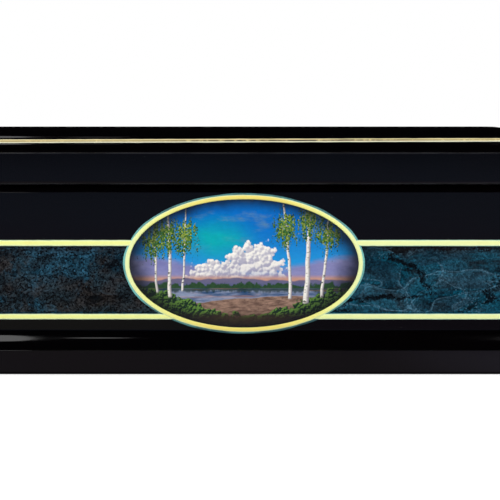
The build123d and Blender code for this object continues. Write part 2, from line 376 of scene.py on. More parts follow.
class Value:
    """An output of a node. Arithmetic with it adds Math nodes to the same recipe."""

    def __init__(self, recipe, socket):
        self.recipe = recipe
        self.socket = socket

    def __add__(self, other):
        return self.recipe.math("ADD", self, other)

    def __sub__(self, other):
        return self.recipe.math("SUBTRACT", self, other)

    def __rsub__(self, other):
        return self.recipe.math("SUBTRACT", other, self)

    def __mul__(self, other):
        return self.recipe.math("MULTIPLY", self, other)

    def __truediv__(self, other):
        return self.recipe.math("DIVIDE", self, other)

    def __pow__(self, other):
        return self.recipe.math("POWER", self, other)

    def __gt__(self, other):
        return self.recipe.math("GREATER_THAN", self, other)

    def __abs__(self):
        return self.recipe.math("ABSOLUTE", self)

    __radd__ = __add__
    __rmul__ = __mul__


class Recipe:
    """The nodes of one finish, written as expressions. Places and sizes are in millimetres."""

    def __init__(self, owner):
        owner.use_nodes = True
        self.owner = owner
        self.tree = owner.node_tree
        self.tree.nodes.clear()

    def node(self, kind, settings, sockets, output=0):
        """Adds a node: its settings first, then the values or links of its sockets."""
        made = self.tree.nodes.new(kind)
        for setting, value in settings.items():
            setattr(made, setting, value)
        for name, value in sockets.items():
            socket = made.inputs[name]
            if isinstance(value, Value):
                self.tree.links.new(value.socket, socket)
            elif socket.type == "RGBA":
                socket.default_value = (*value, 1.0)
            else:
                socket.default_value = value
        return Value(self, made.outputs[output]) if made.outputs else made

    def math(self, operation, first, second=0.0):
        """A Math node on one or two terms."""
        return self.node("ShaderNodeMath", {"operation": operation}, {0: first, 1: second})

    def ray(self, kind):
        """1 for rays of one kind, and 0 for others."""
        return self.node("ShaderNodeLightPath", {}, {}, f"Is {kind} Ray")

    def place(self):
        """Where a point lies on the casket."""
        metres = self.node("ShaderNodeTexCoord", {}, {}, "Object")
        return self.node("ShaderNodeVectorMath", {"operation": "SCALE"}, {0: metres, "Scale": 1 / MM})

    def axis(self, vector, name):
        """One of a vector's three values."""
        return self.node("ShaderNodeSeparateXYZ", {}, {0: vector}, name)

    def stretch(self, vector, scale):
        """A place with its axes scaled, for textures that run one way."""
        return self.node("ShaderNodeVectorMath", {"operation": "MULTIPLY"}, {0: vector, 1: scale})

    def shift(self, vector, by):
        """A place moved by another vector."""
        return self.node("ShaderNodeVectorMath", {"operation": "ADD"}, {0: vector, 1: by})

    def noise(self, place, size, detail=3.0, roughness=0.5, output=0):
        """Cloudy variation with blobs of about this size."""
        sockets = {"Vector": place, "Scale": 1 / size, "Detail": detail, "Roughness": roughness}
        return self.node("ShaderNodeTexNoise", {}, sockets, output)

    def warp(self, place, size, reach):
        """A place pushed about by cloudy variation."""
        push = self.noise(place, size, output=1)
        middle = self.shift(push, (-0.5, -0.5, -0.5))
        return self.shift(place, self.stretch(middle, (2 * reach, 2 * reach, 2 * reach)))

    def cells(self, place, size, output="Distance"):
        """Scattered cells of about this size."""
        return self.node("ShaderNodeTexVoronoi", {}, {"Vector": place, "Scale": 1 / size}, output)

    def fade(self, value, start, end):
        """Rises softly from 0 at start to 1 at end, and start may be the larger."""
        sockets = {"Value": value, "From Min": start, "From Max": end}
        return self.node("ShaderNodeMapRange", {"interpolation_type": "SMOOTHSTEP"}, sockets)

    def mix(self, mask, under, over):
        """One colour laid over another where the mask is 1."""
        return self.node("ShaderNodeMix", {"data_type": "RGBA"}, {0: mask, 6: under, 7: over}, 2)

    def shade(self, under, value):
        """A colour made darker or lighter by a value."""
        settings = {"data_type": "RGBA", "blend_type": "MULTIPLY"}
        grey = self.node("ShaderNodeCombineColor", {}, {0: value, 1: value, 2: value})
        return self.node("ShaderNodeMix", settings, {0: 1.0, 6: under, 7: grey}, 2)

    def surface(self, base, roughness, height, relief, metallic=0.0, ior=1.5):
        """Ends the recipe in a surface with a fine relief, and gives its material."""
        normal = self.node("ShaderNodeBump", {}, {"Distance": relief * MM, "Height": height})
        sockets = {
            "Base Color": base,
            "Roughness": roughness,
            "Metallic": metallic,
            "IOR": ior,
            "Normal": normal,
        }
        shader = self.node("ShaderNodeBsdfPrincipled", {}, sockets)
        self.node("ShaderNodeOutputMaterial", {}, {"Surface": shader})
        return self.owner


def black_lacquer(paint, place, colours):
    """Many polished coats: deep black, faintly wavy, with a few specks under the surface."""
    cloud = paint.noise(place, 45.0)
    smear = paint.noise(paint.stretch(place, (1.0, 1.0, 3.0)), 16.0, detail=4.0, roughness=0.6)
    speck = paint.fade(paint.cells(place, 3.2), 0.045, 0.02)
    chosen = paint.axis(paint.cells(place, 3.2, "Color"), "X") > 0.8
    base = paint.mix(cloud, colours.lacquer, colours.lacquer_warm)
    base = paint.mix(speck * chosen, base, colours.dust)
    # Painted highlights along the lid band's long edges, patchy along them
    base = paint.mix(rubbed_edges(paint, place), base, colours.rubbed)
    peel = paint.noise(place, 1.3, detail=1.0)
    swell = paint.noise(place, 30.0, detail=1.0)
    return paint.surface(base, 0.02 + smear * 0.05, swell + peel * 0.04, 0.025)


def rubbed_edges(paint, place):
    """A mask of the long edges of the lid's band, where a lighter colour paints the highlights of their
    roundings, patchy along them.
    """
    sizes = bpy.context.scene.casket_sizes
    height = paint.axis(place, "Z")
    patchiness = paint.fade(paint.noise(paint.stretch(place, (1.0, 1.0, 0.0)), 11.0, detail=4.0), 0.30, 0.60)
    lower = abs(height - (LID.low.z + 0.3 * sizes.band_foot_round) / MM)
    upper = abs(height - (LID.low.z + sizes.band_height - 0.5 * sizes.arris) / MM)
    return (paint.fade(lower, 0.4, 0.1) + paint.fade(upper, 0.45, 0.15)) * (0.4 + patchiness * 0.6)


def red_lacquer(paint, place, colours):
    """Satin red lacquer inside, brushed on by hand."""
    streaks = paint.noise(paint.stretch(place, (0.12, 0.12, 1.0)), 2.2, roughness=0.6)
    cloud = paint.noise(place, 24.0)
    speck = paint.fade(paint.cells(place, 2.6), 0.06, 0.02)
    base = paint.mix(cloud * 0.7 + streaks * 0.3, colours.red_dark, colours.red)
    base = paint.mix(speck * 0.5, base, colours.red_dark)
    return paint.surface(base, 0.22 + streaks * 0.16, streaks + cloud, 0.012)


# Veils of the marbling: the size of their folds, and a seed
VEILS = (17.0, 31.0), (12.0, 57.0), (21.0, 83.0), (15.0, 11.0)


def veils(paint, place, size, seed):
    """Thin overlapping veils: a pale line where each begins, and the haze that fades away behind it."""
    fold = paint.noise(paint.shift(place, (seed, -seed, 2.0 * seed)), size, detail=0.6) - 0.5
    line = paint.fade(abs(fold), 0.008, 0.0)
    haze = paint.fade(fold, -0.003, 0.005) * paint.fade(fold, 0.16, 0.0)
    return line, haze


def grainy_mottle(paint, colours, place, along, rise):
    """The left of the marbling, slate and brown under navy and blue, and the mottle that divides them."""
    mottle = paint.noise(paint.warp(place, 4.0, 1.2), 4.6, detail=6.0, roughness=0.68)
    region = paint.noise(paint.stretch(place, (0.7, 0.7, 1.3)), 15.0, detail=2.0)
    share = mottle + (region - 0.5) * 1.1 + rise * 0.010 - paint.fade(along, -75.0, -45.0) * 0.08
    warmth = paint.noise(paint.shift(place, (21.0, 5.0, 8.0)), 6.0, detail=4.0)
    tone = paint.mix(paint.fade(warmth, 0.35, 0.65), colours.marble_slate, colours.marble_brown)
    tone = paint.mix(paint.fade(share, 0.38, 0.62), tone, colours.marble_navy)
    tone = paint.mix(paint.fade(share, 0.52, 0.78) * 0.9, tone, colours.marble_blue)
    return tone, mottle


def drawn_smoke(paint, colours, flow, streak, along, rise):
    """The right of the marbling: navy that clears to blue-green in drawn-out smoke."""
    smoke = paint.noise(flow, 8.0, detail=5.0, roughness=0.6) + (streak - 0.5) * 0.45
    smoke = smoke + paint.fade(along, 62.0, 95.0) * 0.10 - rise * 0.004
    return paint.mix(paint.fade(smoke, 0.42, 0.64), colours.marble_navy, colours.marble_teal)


def marbled_paint(paint, place, colours):
    """Marbling under lacquer: a grainy mottle to the left, flowing veils with thin veins to the right."""
    along = paint.axis(place, "X")
    rise = paint.axis(place, "Z") - level_of(span(*nodes_of("marble_band_{}", STRETCHES)))[0]
    right = paint.fade(along, -30.0, 30.0)
    grain = paint.noise(place, 0.55, roughness=0.75)
    chip = paint.axis(paint.cells(place, 0.6, "Color"), "X")
    salt = (grain - 0.5) * 2.6 + (chip - 0.5) * 0.8
    drawn = paint.warp(paint.stretch(place, (0.5, 0.5, 1.0)), 18.0, 6.0)
    flow = paint.warp(drawn, 5.0, 1.0)
    streak = paint.noise(paint.stretch(flow, (0.5, 0.5, 1.6)), 2.4, detail=4.0, roughness=0.7)
    left_tone, mottle = grainy_mottle(paint, colours, place, along, rise)
    right_tone = drawn_smoke(paint, colours, flow, streak, along, rise)
    base = paint.mix(right, left_tone, right_tone)
    hollow = paint.noise(paint.shift(flow, (9.0, 4.0, 17.0)), 6.0, detail=6.0, roughness=0.6)
    base = paint.mix(paint.fade(hollow + (streak - 0.5) * 0.3, 0.52, 0.36) * 0.95, base, colours.marble_dark)
    for size, seed in VEILS:
        line, haze = veils(paint, drawn, size, seed)
        torn = paint.fade(paint.noise(paint.shift(flow, (seed, 0.0, seed)), 8.0, detail=4.0), 0.34, 0.56)
        base = paint.mix(haze * torn * (0.02 + right * 0.07), base, colours.marble_vein)
        base = paint.mix(line * torn * (0.05 + right * 0.38), base, colours.marble_vein)
    rift = paint.noise(paint.stretch(flow, (0.5, 0.5, 1.0)), 13.0, detail=1.0) - 0.46
    ragged = (mottle - 0.5) * 0.18 + salt * 0.022
    crack = paint.fade(abs(rift) + ragged, 0.040, 0.006) * (0.25 + right * 0.65)
    base = paint.mix(crack, base, colours.marble_dark)
    base = marble_borders(paint, colours, rise, right, base)
    light = paint.fade(salt, -0.55, 0.90) * (2.2 - right * 1.05)
    base = paint.shade(base, light + 0.12 + right * 0.26)
    fleck = paint.fade(paint.cells(place, 0.9), 0.34, 0.12) * paint.fade(abs(rift) + ragged, 0.09, 0.02)
    fleck = fleck * paint.fade(hollow, 0.48, 0.60)
    base = paint.mix(fleck * (0.15 + right * 0.4), base, colours.marble_vein)
    swell = paint.noise(place, 30.0, detail=1.0)
    return paint.surface(base, 0.04 + grain * 0.05, swell + grain * 0.04, 0.025, ior=1.3)


def marble_borders(paint, colours, rise, right, base):
    """Shadowy under the upper gilt strip, with a thin line of teal above the lower one."""
    half = (UPPER_STRIP.low.z - LOWER_STRIP.high.z) / 2 / MM
    shadow = paint.fade(rise, half - 4.0, half - 0.5) * 0.4
    under_gilt = paint.fade(rise, half - 0.5, half - 0.2)
    over_gilt = paint.fade(rise, 0.7 - half, 0.3 - half)
    base = paint.mix(shadow, base, colours.marble_brown)
    base = paint.mix(over_gilt * 0.9, base, paint.shade(colours.marble_teal, 0.35 + right * 0.65))
    return paint.mix(under_gilt * 0.9, base, colours.marble_dark)


def gilt_stroke(paint, colours, across, place):
    """The gold of a painted stroke, uneven along it and paler where across nears 1, and its grain."""
    flow = paint.noise(place, 11.0)
    fine = paint.noise(place, 0.9, roughness=0.65)
    edge = paint.fade(across, 0.30, 0.85)
    gold = paint.mix(paint.fade(flow, 0.52, 0.74) * 0.4, colours.gilt, colours.gilt_rich)
    gold = paint.mix(0.1 + edge * 0.75, gold, colours.gilt_pale)
    gold = paint.shade(gold, 0.96 + fine * 0.12)
    return gold, fine


def gilt_paint(paint, place, colours):
    """Lemon gold paint of the strips, with a breath of teal along their edges that pales to the right."""
    height = paint.axis(place, "Z")
    lower, lower_half = level_of(LOWER_STRIP)
    upper, upper_half = level_of(UPPER_STRIP)
    is_upper = height > (lower + upper) / 2
    rise = height - lower - is_upper * (upper - lower)
    across = rise / (lower_half + is_upper * (upper_half - lower_half))
    gold, fine = gilt_stroke(paint, colours, abs(across), place)
    ragged = paint.noise(place, 3.0)
    fringe = paint.fade(abs(across) + (ragged - 0.5) * 0.3, 0.74, 0.98)
    thin = paint.fade(paint.axis(place, "X"), -50.0, 60.0)
    gold = paint.mix(thin * 0.4, gold, colours.gilt_pale)
    gold = paint.mix(fringe * 0.8, gold, paint.mix(thin * 0.6, colours.teal, colours.teal_pale))
    return paint.surface(gold, 0.42 + fine * 0.16, fine, 0.03)


def gilt_ring_paint(paint, place, colours):
    """Lemon gold paint of the ring: rich above and below, paler at its ends and along its outside."""
    reach, sideways = oval_share(paint, place)
    picture, ring = PICTURE.high - OVAL_MIDDLE, RING.high - OVAL_MIDDLE
    inner = picture.z / ring.z + sideways * sideways * (picture.x / ring.x - picture.z / ring.z)
    across = (reach * 2.0 - inner - 1.0) / (1.0 - inner)
    gold, fine = gilt_stroke(paint, colours, across, place)
    rich = paint.fade(abs(across + 0.15), 1.0, 0.4) * paint.fade(sideways, 0.85, 0.2)
    gold = paint.mix(rich, gold, colours.gilt_rich)
    gold = paint.mix(paint.fade(sideways, 0.75, 1.0) * 0.5, gold, colours.gilt_pale)
    return paint.surface(gold, 0.42 + fine * 0.16, fine, 0.03)


def distance(aside, up):
    """How far from the middle a point is that lies this far aside and up."""
    return (aside * aside + up * up) ** 0.5


def oval_share(paint, place):
    """How far a point lies from the plaque's middle, and how far sideways: 1 is the gilt ring's outside."""
    half = RING.high - OVAL_MIDDLE
    x, z = from_plaque(paint, place)
    x, z = x / (half.x / MM), z / (half.z / MM)
    return distance(x, z), abs(x)


def from_plaque(paint, place):
    """How far a point lies to the right of the plaque's middle, and how far above it."""
    return paint.axis(place, "X") - OVAL_MIDDLE.x / MM, paint.axis(place, "Z") - OVAL_MIDDLE.z / MM


def gilt_leaf(paint, place, colours):
    """Beige leaf on the edge of the lid board, with a painted highlight along its lower edge, a fainter one
    along its upper edge, and thinned through to the brown size along its middle.
    """
    middle, half = level_of(span(*nodes_of("lid_gilt_line_{}")))
    along = paint.axis(place, "X")
    slope = bpy.context.scene.casket_sizes.line_drift / BOARD.high.x
    across = (paint.axis(place, "Z") - middle - along * slope) / half
    drift = paint.noise(paint.stretch(place, (1.0, 1.0, 0.0)), 14.0)
    fine = paint.noise(place, 0.8, roughness=0.65)
    # Painted highlight along the line's lower edge, and a fainter one along its upper edge
    pale = paint.fade(across + (drift - 0.5) * 0.3, -0.2, -0.45) + paint.fade(across, 0.5, 0.85) * 0.4
    gold = paint.mix(pale, colours.leaf, colours.leaf_pale)
    patchiness = paint.noise(paint.stretch(place, (1.0, 1.0, 0.3)), 2.4, detail=6.0, roughness=0.8)
    rubbed = 0.35 + paint.fade(abs(along - 15.0), 60.0, 10.0) * 0.65
    streak = paint.fade(abs(across - (drift - 0.5) * 0.5 - 0.08), 0.50, 0.25) * paint.fade(patchiness, 0.36, 0.50)
    gold = paint.mix(streak * rubbed, gold, colours.leaf_brown)
    gold = paint.shade(gold, 0.90 + fine * 0.20)
    return paint.surface(gold, 0.36 + fine * 0.2, fine - streak * 0.5, 0.03)


def teal_paint(paint, place, colours):
    """Thin teal edging, uneven in depth and paler at the plaque's ends."""
    flow = paint.noise(place, 9.0)
    fine = paint.noise(place, 0.7, roughness=0.65)
    ends = paint.fade(oval_share(paint, place)[1], 0.55, 1.0)
    thin = paint.fade(flow + (fine - 0.5) * 0.4, 0.38, 0.68) * 0.35 + ends * 0.6
    base = paint.mix(thin, colours.teal, colours.teal_pale)
    return paint.surface(base, 0.25 + fine * 0.15, fine, 0.02)


# Colours of the painted landscape, in linear light
LANDSCAPE = {
    "high sky": (0.000, 0.150, 0.560),
    "low sky": (0.020, 0.360, 0.780),
    "turquoise": (0.000, 0.420, 0.450),
    "thin cloud": (0.150, 0.280, 0.340),
    "violet": (0.140, 0.130, 0.400),
    "lilac": (0.380, 0.340, 0.540),
    "cloud light": (0.980, 0.940, 0.880),
    "cloud shade": (0.340, 0.330, 0.480),
    "peach": (0.640, 0.320, 0.190),
    "far hill": (0.090, 0.110, 0.230),
    "forest": (0.010, 0.032, 0.018),
    "forest light": (0.040, 0.110, 0.040),
    "deep water": (0.030, 0.080, 0.190),
    "bright water": (0.280, 0.330, 0.480),
    "sand": (0.420, 0.260, 0.190),
    "sand shade": (0.120, 0.070, 0.055),
    "meadow light": (0.120, 0.250, 0.045),
    "earth": (0.020, 0.012, 0.008),
    "bark": (0.940, 0.900, 0.820),
    "bark shade": (0.260, 0.240, 0.290),
    "bark mark": (0.030, 0.024, 0.022),
    "leaf shade": (0.012, 0.045, 0.010),
    "leaf": (0.050, 0.160, 0.025),
    "leaf light": (0.330, 0.400, 0.060),
    "rim": (0.006, 0.008, 0.010),
}

# Clouds: where the base lies from the middle of the plaque, half the width, the height and a seed
Cloud = namedtuple("Cloud", "x base width height seed")
CLOUDS = (
    Cloud(-10.0, -5.5, 9.0, 6.0, 41.0),
    Cloud(3.0, -5.5, 10.0, 12.0, 47.0),
)

# Birches: where the foot stands from the middle of the plaque, the lean, the width and the crown's height
Birch = namedtuple("Birch", "x foot lean width crown")
BIRCHES = (
    Birch(-28.0, -9.5, -0.06, 0.8, 4.5),
    Birch(-24.0, -11.0, -0.03, 1.2, 7.0),
    Birch(-20.0, -9.0, 0.04, 0.7, 6.5),
    Birch(15.0, -11.5, -0.06, 1.1, 9.5),
    Birch(20.0, -13.0, 0.04, 1.8, 11.0),
    Birch(25.0, -11.0, 0.10, 1.0, 7.0),
)

# A birch's crown: the length of trunk under it, half its width and height, and how far its middle is raised
TRUNK_LENGTH = 26.0
CROWN_HALF_WIDTH, CROWN_HALF_HEIGHT = 5.5, 8.5
CROWN_LIFT = 2.0

# Leaves: the size of a dab, how far out they reach, and their two colours
LEAVES = (0.62, 1.15, "leaf shade", "leaf"), (0.46, 0.95, "leaf", "leaf light")


class Canvas:
    """The picture on the plaque while it is painted: each layer goes over what is there."""

    def __init__(self, paint, place):
        self.paint = paint
        self.place = place
        self.x, self.up = from_plaque(paint, place)
        self.picture = None

    def over(self, mask, name, light=None, share=None):
        """Lays a colour of the landscape, or a mix of two, where the mask is 1."""
        paint = self.paint
        layer = LANDSCAPE[name] if light is None else paint.mix(share, LANDSCAPE[name], LANDSCAPE[light])
        self.picture = paint.mix(mask, self.picture, layer)

    def texture(self, size, across=1.0, upright=1.0, seed=0.0, detail=3.0):
        """Brushwork that is stretched across or upright."""
        stretched = self.paint.stretch(self.place, (1 / across, 1.0, 1 / upright))
        moved = self.paint.shift(stretched, (seed, seed, 0.0))
        return self.paint.noise(moved, size, detail=detail, roughness=0.6)

    def below(self, line, softness):
        """A mask of what lies below a line."""
        return self.paint.fade(self.up - line, softness, -softness)


def paint_sky(canvas):
    """An evening sky: deep blue above, a turquoise break, thin cloud, and a violet bank low down."""
    paint, x, up = canvas.paint, canvas.x, canvas.up
    canvas.picture = paint.mix(paint.fade(up, 15.0, -7.0), LANDSCAPE["high sky"], LANDSCAPE["low sky"])
    clear = paint.fade(distance((x + 9.0) / 15.0, (up - 8.0) / 9.0), 1.1, 0.1)
    canvas.over(clear * canvas.texture(9.0, across=2.0) * 1.4, "turquoise")
    wisps = paint.fade(canvas.texture(5.0, across=2.8, seed=21.0, detail=5.0), 0.50, 0.74)
    canvas.over(wisps * paint.fade(up, 0.0, 14.0) * 0.8, "thin cloud")
    swell = canvas.texture(9.0, across=2.2, seed=5.0, detail=5.0) - 0.5
    bank = paint.fade(abs(x), 4.0, 36.0) * 6.5 - 3.6 + swell * 9.0
    canvas.over(canvas.below(bank, 1.6) * 0.92, "violet", "lilac", canvas.texture(4.0, across=2.6, seed=9.0))


def heaped(canvas, size, seed):
    """Rounded heaps: how high they stand, and how far the light from the upper left catches them."""
    paint = canvas.paint
    flat = paint.shift(paint.stretch(canvas.place, (1.0, 0.0, 1.0)), (seed, 0.0, seed))
    flat = paint.warp(flat, size, 0.2 * size)

    def height(place):
        broad, small = paint.cells(place, size), paint.cells(place, 0.4 * size)
        return 1.0 - broad * broad * 1.1 - small * small * 0.5

    top = height(flat)
    towards_light = paint.shift(flat, (-0.14 * size, 0.0, 0.2 * size))
    return top, paint.fade(top - height(towards_light), -0.25, 0.25)


def paint_cloud(canvas, cloud):
    """A heaped cloud, lit from the upper left, whose base fades into the haze."""
    paint = canvas.paint
    top, light = heaped(canvas, 3.0, cloud.seed)
    rise, aside = (canvas.up - cloud.base) / cloud.height, (canvas.x - cloud.x) / cloud.width
    reach = distance(aside, rise) - top * 0.55
    body = paint.fade(reach, 0.74, 0.66) * paint.fade(rise, -0.1, 0.3)
    tone = light * 0.75 + paint.fade(rise, 0.0, 0.9) * 0.3
    canvas.over(body, "cloud shade", "cloud light", tone)


def paint_far_shore(canvas):
    """The glow on the horizon, low hills and the forest beyond the lake."""
    paint, up = canvas.paint, canvas.up
    canvas.over(paint.fade(abs(up + 5.4), 2.0, 0.2) * 0.85, "peach")
    hills = canvas.texture(16.0, upright=99.0, seed=3.0) * 5.0 - 7.7
    canvas.over(canvas.below(hills, 0.25) * 0.9, "far hill")
    trees = canvas.texture(2.1, upright=1.6, seed=14.0, detail=5.0) * 4.6
    trees = trees + canvas.texture(12.0, upright=99.0, seed=31.0) * 4.0 - 11.0
    canvas.over(canvas.below(trees, 0.3), "forest", "forest light", canvas.texture(0.9, seed=2.0))


def paint_lake(canvas):
    """Still water that holds the sky in long flat strokes."""
    paint, up = canvas.paint, canvas.up
    water = canvas.below(-8.1, 0.15)
    strokes = paint.fade(canvas.texture(1.3, across=7.0, seed=8.0), 0.36, 0.66)
    canvas.over(water, "deep water", "bright water", strokes)
    glow = paint.fade(canvas.texture(1.1, across=9.0, seed=17.0), 0.52, 0.68) * paint.fade(up, -12.5, -8.2)
    canvas.over(water * glow * 0.8, "peach")
    mirrored = paint.fade(up + canvas.texture(1.6, across=0.7, upright=3.0, seed=4.0) * 2.6, -8.4, -7.4)
    canvas.over(water * mirrored * 0.8, "forest")


def paint_near_shore(canvas):
    """A sandy bank with pebbles, bushes on both sides of it, and dark earth in front."""
    paint, x, up = canvas.paint, canvas.x, canvas.up
    sweep = paint.math("SINE", x * 0.085 + 0.5)
    bank = sweep * 1.3 - 12.4 + canvas.texture(3.0, across=2.0, seed=6.0) * 1.4
    ripples = canvas.texture(0.9, across=4.0, seed=12.0, detail=5.0)
    canvas.over(canvas.below(bank, 0.2), "sand shade", "sand", paint.fade(ripples, 0.30, 0.74))
    pebbles = paint.fade(canvas.texture(0.55, across=1.4, seed=39.0, detail=2.0), 0.60, 0.70)
    canvas.over(canvas.below(bank - 0.4, 0.3) * pebbles * 0.8, "sand shade")
    canvas.over(paint.fade(abs(up - bank), 0.26, 0.04) * 0.6, "bright water")
    top, light = heaped(canvas, 1.7, 19.0)
    clumps = (canvas.texture(5.0, seed=27.0) - 0.5) * 5.0 + (top - 0.5) * 1.6
    bushes = paint.fade(abs(x), 5.0, 30.0) * 7.5 - 16.0 + clumps
    sunlit = light + (canvas.texture(0.5, seed=23.0, detail=4.0) - 0.5) * 1.2
    canvas.over(canvas.below(bushes, 0.15), "forest", "meadow light", paint.fade(sunlit, 0.25, 1.0))
    earth = (canvas.texture(4.0, across=2.5, seed=33.0) - 0.5) * 3.0 - 16.4
    dust = canvas.texture(0.9, across=2.0, seed=37.0) * 0.5
    canvas.over(canvas.below(earth, 1.4) * 0.94, "earth", "sand shade", dust)


def paint_birch(canvas, birch):
    """A white trunk, rounded by its shade, with dark marks across the bark."""
    paint, up = canvas.paint, canvas.up
    rise = up - birch.foot
    bend = (canvas.texture(17.0, across=99.0, seed=birch.x) - 0.5) * 2.4
    taper = birch.width - rise * (0.017 * birch.width)
    across = (canvas.x - birch.x - rise * birch.lean - bend) / taper
    trunk = paint.fade(abs(across), 0.6, 0.46) * paint.fade(rise, -0.3, 0.5)
    canvas.over(trunk, "bark", "bark shade", paint.fade(across, -0.2, 0.5))
    marks = paint.fade(canvas.texture(0.9, across=1.7, upright=0.6, seed=birch.foot), 0.57, 0.66)
    canvas.over(trunk * marks, "bark mark")


def paint_leaves(canvas, birch):
    """A hanging crown of small dabs, dark inside and sunlit on top."""
    paint = canvas.paint
    reach_x = (canvas.x - (birch.x + birch.lean * TRUNK_LENGTH)) / CROWN_HALF_WIDTH
    reach_up = (canvas.up - (birch.crown + CROWN_LIFT)) / CROWN_HALF_HEIGHT
    strands = canvas.texture(1.5, across=0.7, upright=3.5, seed=birch.crown) - 0.5
    reach = distance(reach_x, reach_up) + strands * 1.9
    for size, far, dark, light in LEAVES:
        thick = paint.fade(reach, far, 0.25)
        place = paint.shift(canvas.place, (birch.x, 0.0, size))
        shade = paint.axis(paint.cells(place, size, "Color"), "X")
        dabs = paint.fade(paint.cells(place, size) - thick * 0.62, 0.06, -0.06)
        canvas.over(dabs, dark, light, paint.fade(shade + reach_up * 0.25, 0.25, 0.95))


def painted_miniature(paint, place, colours):
    """A birch grove by a lake at sunset, painted on the plaque and darkened towards its rim."""
    canvas = Canvas(paint, place)
    paint_sky(canvas)
    for cloud in CLOUDS:
        paint_cloud(canvas, cloud)
    paint_far_shore(canvas)
    paint_lake(canvas)
    paint_near_shore(canvas)
    for birch in BIRCHES:
        paint_birch(canvas, birch)
    for birch in BIRCHES:
        paint_leaves(canvas, birch)
    reach = oval_share(paint, canvas.place)[0] + (canvas.texture(6.0, seed=51.0) - 0.5) * 0.10
    canvas.over(paint.fade(reach, 0.72, 0.96) * 0.94, "rim")
    brush = canvas.texture(0.8, across=2.0, seed=55.0)
    picture = paint.shade(canvas.picture, 0.86 + brush * 0.28)
    return paint.surface(picture, 0.07 + brush * 0.06, brush, 0.008)


def hinge_brass(paint, place, colours):
    """Drawn brass with fine lines along the leaf and dull spots."""
    lines = paint.noise(paint.stretch(place, (0.06, 1.0, 1.0)), 0.22)
    dull = paint.fade(paint.noise(place, 4.5, detail=5.0, roughness=0.65), 0.46, 0.70)
    base = paint.mix(dull * 0.75, colours.brass, colours.brass_dark)
    base = paint.shade(base, 0.85 + lines * 0.3)
    return paint.surface(base, 0.24 + lines * 0.14 + dull * 0.2, lines, 0.006, metallic=1.0)


def screw_brass(paint, place, colours):
    """Turned brass screws with dull patches."""
    turned = paint.noise(place, 0.3)
    dull = paint.fade(paint.noise(place, 1.6, detail=4.0), 0.42, 0.64)
    base = paint.mix(dull * 0.7, colours.brass, colours.brass_dark)
    return paint.surface(base, 0.28 + turned * 0.2, turned, 0.006, metallic=1.0)


def hinge_pin_steel(paint, place, colours):
    """Ground steel wire with a few dull rings of wear."""
    rings = paint.noise(paint.stretch(place, (1.0, 0.05, 0.05)), 0.4)
    base = paint.shade(paint.mix(rings, colours.steel, colours.steel_dark), 0.9 + rings * 0.2)
    return paint.surface(base, 0.18 + rings * 0.2, rings, 0.004, metallic=1.0)


def floor_board(paint, place, colours):
    """Stained board under the casket, with its grain along the length."""
    grain_place = paint.stretch(paint.warp(place, 30.0, 3.0), (0.06, 1.0, 1.0))
    grain = paint.noise(grain_place, 1.6, detail=5.0, roughness=0.6)
    pores = paint.fade(paint.noise(paint.stretch(place, (0.05, 1.0, 1.0)), 0.35, detail=2.0), 0.58, 0.70)
    base = paint.mix(paint.fade(grain, 0.34, 0.66), colours.board, colours.board_dark)
    base = paint.mix(pores * 0.7, base, colours.board_dark)
    return paint.surface(base, 0.45 + grain * 0.2, grain - pores * 0.6, 0.05)


RECIPES = {
    recipe.__name__: recipe
    for recipe in (
        black_lacquer,
        red_lacquer,
        marbled_paint,
        gilt_paint,
        gilt_ring_paint,
        gilt_leaf,
        teal_paint,
        painted_miniature,
        hinge_brass,
        screw_brass,
        hinge_pin_steel,
        floor_board,
    )
}


def finish(name):
    """The material of a finish, made the first time that it is asked for."""
    made = bpy.data.materials.get(f"finish_{name}")
    if made is None:
        paint = Recipe(bpy.data.materials.new(f"finish_{name}"))
        made = RECIPES[name](paint, paint.place(), bpy.context.scene.casket_colours)
    return made


def wander(seed, reach):
    """A line that strays from straight by up to this reach, as a function of the way along it."""
    draw = random.Random(seed)
    waves = [(draw.uniform(*WAVE_SIZES) * MM, draw.uniform(0.0, math.tau)) for _ in range(WAVES)]

    def stray(way):
        return reach * sum(math.sin(math.tau * way / size + start) for size, start in waves) / WAVES

    return stray


Station = namedtuple("Station", "way place across out")


def walk_round(half_x, half_y, corner):
    """Stations along a rounded rectangle, from the middle of the front to the left and all the way round."""
    up = Vector((0, 0, 1))
    ahead, out = Vector((-1, 0, 0)), Vector((0, -1, 0))
    place, way = Vector((0, -half_y, 0)), 0.0
    runs = [half_x, 2 * half_y, 2 * half_x, 2 * half_y, half_x]
    stations = []
    for number, run in enumerate(runs):
        straight = run - (corner if number in (0, len(runs) - 1) else 2 * corner)
        count = math.ceil(straight / BEAD_STEP)
        for step in range(count):
            along = straight * step / count
            stations.append(Station(way + along, place + ahead * along, up, out))
        place, way = place + ahead * straight, way + straight
        if number == len(runs) - 1:
            break
        centre = place - out * corner
        for step in range(CORNER_STEPS):
            turn = math.pi / 2 * step / CORNER_STEPS
            facing = out * math.cos(turn) + ahead * math.sin(turn)
            stations.append(Station(way + corner * turn, centre + facing * corner, up, facing))
        place, way = centre + ahead * corner, way + corner * math.pi / 2
        ahead, out = -out, ahead
    return stations


def walk_oval(half_x, half_z, y):
    """Stations round an upright ellipse about the plaque, with across pointing away from its middle."""
    out = Vector((0, -1, 0))
    stations, way, last = [], 0.0, None
    for place in oval(half_x, half_z, y):
        way += (place - last).length if last else 0.0
        from_middle = place - OVAL_MIDDLE
        across = Vector((from_middle.x / half_x**2, 0, from_middle.z / half_z**2)).normalized()
        stations.append(Station(way, place, across, out))
        last = place
    return stations


